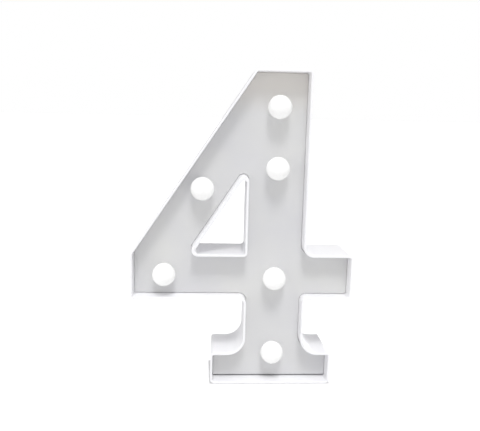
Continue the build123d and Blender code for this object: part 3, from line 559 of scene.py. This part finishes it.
can_steel = skinned_material("can_steel", plated_skin, {
    "Light": (0.76, 0.76, 0.75, 1), "Dark": (0.6, 0.6, 0.6, 1), "Streaks": (700, 700, 700),
    "Gloss Low": 0.15, "Gloss High": 0.35, "Streak Depth": 0.000005,
}, {"Metallic": 1})
seal_nylon = skinned_material("seal_nylon", moulded_skin, {
    "Light": (0.1, 0.1, 0.1, 1), "Dark": (0.07, 0.07, 0.07, 1), "Mottle Scale": 500,
    "Gloss Low": 0.5, "Gloss High": 0.65, "Peel Scale": 2000, "Peel Depth": 0.00001,
}, {})
plus_up = 42.5 * mm
minus_up = 5.5 * mm
band_from = 37 * mm
band_to = 48 * mm
for side, turn, way in (("left", 0, 1), ("right", 180, -1)):
    node = f"battery_cell_{side}"
    low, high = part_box(node)
    middle = box_middle(node)[:2]
    flat_end = low[2] if way == 1 else high[2]
    can = turned_piece(f"cell_can_{side}", can_profile, cell_sides)
    film = turned_piece(f"cell_film_{side}", film_profile, cell_sides, closed=False)
    wall = film.modifiers.new("film", "SOLIDIFY")
    wall.thickness = film_thickness
    wall.offset = -1
    bpy.ops.object.modifier_apply(modifier="film")
    bpy.ops.object.select_all(action="DESELECT")
    bpy.ops.mesh.primitive_torus_add(major_radius=seal_radius, minor_radius=seal_thickness,
                                     major_segments=cell_sides, minor_segments=seal_sides,
                                     location=(0, 0, seal_height))
    seal = bpy.context.active_object
    seal.name = f"cell_seal_{side}"
    bpy.ops.object.transform_apply(location=True, rotation=True, scale=True)
    bpy.ops.object.mode_set(mode="EDIT")
    bpy.ops.mesh.select_all(action="SELECT")
    bpy.ops.transform.resize(value=(1, 1, seal_flatness), center_override=(0, 0, seal_height))
    bpy.ops.object.mode_set(mode="OBJECT")
    bpy.ops.object.shade_smooth()
    band = sorted((flat_end + way * band_from, flat_end + way * band_to))
    film_print = film_material(f"cell_film_{side}", middle, flat_end + way * plus_up,
                               flat_end + way * minus_up, *band)
    for piece, material in ((can, can_steel), (film, film_print), (seal, seal_nylon)):
        piece.rotation_euler = (math.radians(turn), 0, 0)
        piece.location = (*middle, flat_end)
        finish_piece(piece, "figure", material, [node] if piece is can else [])

# The battery door
# One moulding in the body's white ABS, with grip lines, two hooks along its lower edge and a
# sprung catch along its upper one. It hooks into the back and snaps shut.
dress("battery_door", white_body_plastic)

# The slide switch
# A black case with three plated terminals, screwed behind its pan, and a ribbed black knob
# just below the back. ON and OFF stand up from the pan above the two ends of its slide.
black_case_plastic = skinned_material("black_case_plastic", moulded_skin, {
    "Light": (0.035, 0.035, 0.037, 1), "Dark": (0.022, 0.022, 0.024, 1), "Mottle Scale": 200,
    "Gloss Low": 0.35, "Gloss High": 0.5, "Peel Scale": 2000, "Peel Depth": 0.00001,
}, {})
dress("switch_knob", black_case_plastic)
switch_case = merged_copy("switch_body", "switch_case")
terminal_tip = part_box("switch_body")[0][1]
terminal_length = 3.5 * mm
cut_margin = 0.01 * mm
case_front = terminal_tip + terminal_length
choose_faces(switch_case, lambda middle, normal: middle.y < case_front - cut_margin)
bpy.ops.object.mode_set(mode="EDIT")
bpy.ops.mesh.separate(type="SELECTED")
bpy.ops.object.mode_set(mode="OBJECT")
terminals = [piece for piece in bpy.context.selected_objects if piece is not switch_case][0]
terminals.name = "switch_terminals"
for piece in (switch_case, terminals):
    take(piece)
    bpy.ops.object.mode_set(mode="EDIT")
    bpy.ops.mesh.select_all(action="SELECT")
    bpy.ops.mesh.fill_holes(sides=0)
    bpy.ops.object.mode_set(mode="OBJECT")
finish_piece(switch_case, "figure", black_case_plastic, ["switch_body"])
finish_piece(terminals, "figure", tinned_steel)
switch_middle_x = box_middle("switch_body")[0]
switch_middle_z = box_middle("switch_knob")[2]
terminal_pitch = 3 * mm
for count in (0, 1):
    tip = (switch_middle_x + count * terminal_pitch, terminal_tip + blob_step, switch_middle_z)
    solder_joint(f"solder_terminal_{count}", tip, tilt=90)

pan_floor = 19.365 * mm
letter_size = 2 * mm
letter_rise = 0.28 * mm
letter_bevel = 0.04 * mm
letter_height = switch_middle_z + 2.95 * mm
word_reach = 2.5 * mm
for word, across in (("ON", word_reach), ("OFF", -word_reach)):
    bpy.ops.object.select_all(action="DESELECT")
    bpy.ops.object.text_add()
    letters = bpy.context.active_object
    letters.name = f"letters_{word.lower()}"
    letters.data.body = word
    letters.data.size = letter_size
    letters.data.align_x = "CENTER"
    letters.data.extrude = letter_rise
    letters.data.bevel_depth = letter_bevel
    bpy.ops.object.convert(target="MESH")
    letters.rotation_euler = (math.radians(90), 0, math.radians(180))
    letters.location = (switch_middle_x + across, pan_floor, letter_height)
    finish_piece(letters, "figure", white_body_plastic)

# The stage
# A pale floor that glows a little for the camera, so that it melts into the white around it.
# It doesn't glow close to the foot, where a thin line of shade sets the foot off.
bpy.ops.object.select_all(action="DESELECT")
floor_size = 12
bpy.ops.mesh.primitive_plane_add(size=floor_size, location=(0, 0, 0))
floor = bpy.context.active_object
floor.name = "floor"
floor_paint = bpy.data.materials.new("floor_paint")
floor_paint.use_nodes = True
floor_tree = floor_paint.node_tree
floor_shader = floor_tree.nodes["Principled BSDF"]
floor_shader.inputs["Base Color"].default_value = (0.78, 0.78, 0.78, 1)
floor_shader.inputs["Roughness"].default_value = 0.9
floor_shader.inputs["Emission Color"].default_value = (1, 1, 1, 1)
floor_glow = 0.6
foot_middle = (21.5 * mm, 1.965 * mm, 0)
foot_half = {"X": 42.8 * mm, "Y": 20 * mm}
shade_start = 0.3 * mm
shade_end = 1.6 * mm
either_side = add_node(floor_tree, "ShaderNodeVectorMath", {
    0: offset_from(floor_tree, foot_middle),
}, operation="ABSOLUTE")
sides = split_place(floor_tree, either_side.outputs["Vector"])
beyond_foot = []
for axis, half in foot_half.items():
    beyond = add_node(floor_tree, "ShaderNodeMapRange", {
        "Value": sides[axis], "From Min": half + shade_start, "From Max": half + shade_end,
    }, interpolation_type="SMOOTHSTEP")
    beyond_foot.append(beyond.outputs["Result"])
open_floor = math_step(floor_tree, "MAXIMUM", *beyond_foot)
camera_sees = floor_tree.nodes.new("ShaderNodeLightPath").outputs["Is Camera Ray"]
seen_floor = math_step(floor_tree, "MULTIPLY", open_floor, camera_sees)
floor_tree.links.new(math_step(floor_tree, "MULTIPLY", seen_floor, floor_glow),
                     floor_shader.inputs["Emission Strength"])
from_below = add_node(floor_tree, "ShaderNodeMixShader", {
    "Fac": floor_tree.nodes.new("ShaderNodeNewGeometry").outputs["Backfacing"],
    1: floor_shader.outputs["BSDF"],
    2: floor_tree.nodes.new("ShaderNodeBsdfTransparent").outputs["BSDF"],
})
floor_tree.links.new(from_below.outputs["Shader"],
                     floor_tree.nodes["Material Output"].inputs["Surface"])
floor.data.materials.append(floor_paint)

# The room is brighter in front of the figure than behind it, and pure white to the camera.
studio = bpy.data.worlds.new("studio")
studio.use_nodes = True
bpy.context.scene.world = studio
world_tree = studio.node_tree
sky = world_tree.nodes["Background"]
sky.inputs["Color"].default_value = (1, 1, 1, 1)
front_light = 0.74
rear_light = 0.44
turning_reach = 0.6
direction = world_tree.nodes.new("ShaderNodeTexCoord").outputs["Generated"]
room = add_node(world_tree, "ShaderNodeMapRange", {
    "Value": split_place(world_tree, direction)["Y"],
    "From Min": -turning_reach, "From Max": turning_reach,
    "To Min": front_light, "To Max": rear_light,
}, interpolation_type="SMOOTHSTEP")
level = add_node(world_tree, "ShaderNodeMapRange", {
    "Value": world_tree.nodes.new("ShaderNodeLightPath").outputs["Is Camera Ray"],
    "To Min": room.outputs["Result"], "To Max": 1,
})
world_tree.links.new(level.outputs["Result"], sky.inputs["Strength"])

# Large soft lights, so far away that each is as bright all over the object. Each has the
# direction that it comes from, its spread in degrees and its strength.
far_lights = [
    ("key_light", (0.02, -0.5, 0.87), 16, 1.2),
    ("top_light", (0, -0.12, 1), 40, 0.6),
    ("left_light", (-0.95, -0.25, 0.2), 50, 0.4),
    ("rear_light", (0.6, 0.8, 0.1), 30, 0.8),
]
for name, come_from, spread, strength in far_lights:
    light_data = bpy.data.lights.new(name, "SUN")
    light_data.energy = strength
    light_data.angle = math.radians(spread)
    light = bpy.data.objects.new(name, light_data)
    bpy.context.scene.collection.objects.link(light)
    light.rotation_euler = (-Vector(come_from)).to_track_quat("-Z", "Y").to_euler()

# The camera stands where the photograph was taken from.
camera_place = Vector((-0.0279, -0.4324, 0.2002))
camera_forward = Vector((0.0596, 0.9811, -0.18407))
camera_roll = math.radians(1.4)
lens_mm = 46.67
sensor_mm = 36
camera_data = bpy.data.cameras.new("camera")
camera_data.lens = lens_mm
camera_data.sensor_width = sensor_mm
camera = bpy.data.objects.new("camera", camera_data)
bpy.context.scene.collection.objects.link(camera)
camera.location = camera_place
camera.rotation_mode = "QUATERNION"
looking = camera_forward.to_track_quat("-Z", "Y")
camera.rotation_quaternion = looking @ Quaternion((0, 0, 1), camera_roll)
bpy.context.scene.camera = camera
bpy.context.scene.view_settings.view_transform = "Standard"
